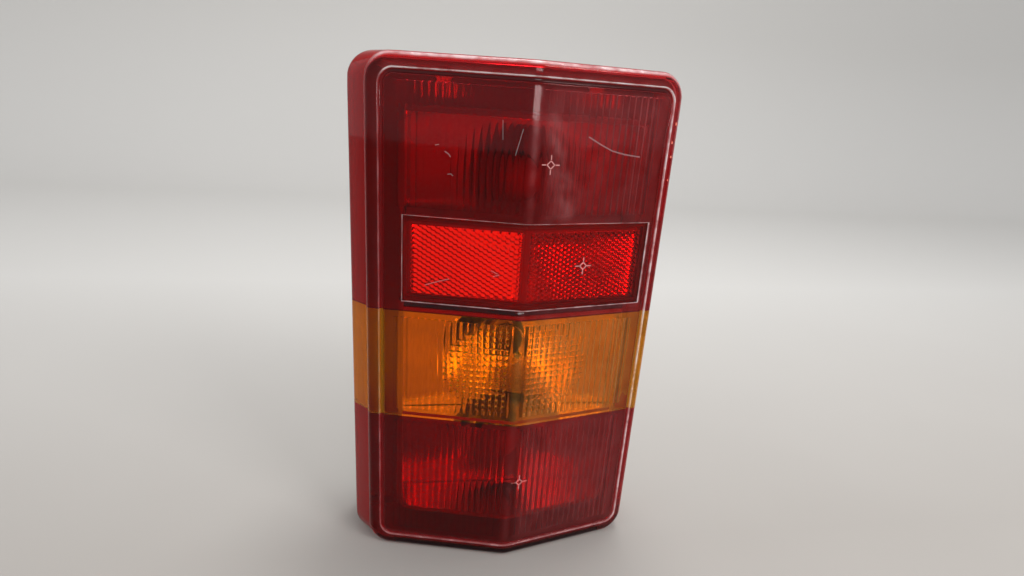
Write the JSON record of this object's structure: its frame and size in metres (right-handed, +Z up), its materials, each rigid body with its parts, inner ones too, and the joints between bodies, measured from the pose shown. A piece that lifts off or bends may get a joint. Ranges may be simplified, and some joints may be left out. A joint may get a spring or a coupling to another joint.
{
  "type": "tail light cluster",
  "caption": "Rear lamp cluster of a car: ridged red and amber lens with a reflex reflector over a housing with bulbs, sockets and mounting studs.",
  "frame": {"origin": "middle of the four mounting studs, on the face of the car body that the gasket seats on", "axes": "+Z up, +Y into the car, +X from the outboard side to the inboard side; the face looks along -Y"},
  "size_m": [0.1625, 0.0831, 0.2706],
  "materials": {
    "lens_red": "worn clear red moulding, gloss",
    "lens_amber": "worn clear amber moulding, gloss",
    "reflex_red": "clear red moulding with corner prisms",
    "cover_plastic": "matt",
    "seal_bead": "matt sealing bead",
    "housing_plastic": "moulded, satin, with silver lacquer inside the box",
    "gasket_rubber": "cellular rubber",
    "plated_steel": "zinc plated",
    "metallised": "vacuum metallised plastic",
    "carrier_plastic": "moulded, satin",
    "brass": "stamped sheet, dulled",
    "insulator": "pressed laminate",
    "bulb_glass": "clear thin glass",
    "bulb_cap": "drawn sheet",
    "filament": "drawn wire on a glass stem"
  },
  "bodies": {
    "root": {"lens_red_upper": "lens_red", "lens_red_lower": "lens_red", "lens_amber": "lens_amber", "reflex_reflector": "reflex_red", "reflex_cover": "cover_plastic", "lens_seal": "seal_bead", "housing": "housing_plastic", "flange_gasket": "gasket_rubber", "mounting_studs": "plated_steel", "carrier_screws": "plated_steel", "reflector_stop_tail": "metallised", "reflector_turn": "metallised", "reflector_fog": "metallised", "bulb_carrier": "carrier_plastic", "carrier_seal": "gasket_rubber", "socket_stop_tail": "brass", "socket_turn": "brass", "socket_fog": "brass", "socket_base_stop_tail": "insulator", "socket_base_turn": "insulator", "socket_base_fog": "insulator", "earth_strip": "brass", "stop_strip": "brass", "tail_strip": "brass", "turn_strip": "brass", "fog_strip": "brass", "stop_tail_glass": "bulb_glass", "turn_glass": "bulb_glass", "fog_glass": "bulb_glass", "stop_tail_cap": "bulb_cap", "turn_cap": "bulb_cap", "fog_cap": "bulb_cap", "stop_tail_filaments": "filament", "turn_filament": "filament", "fog_filament": "filament"}
  },
  "joints": []
}
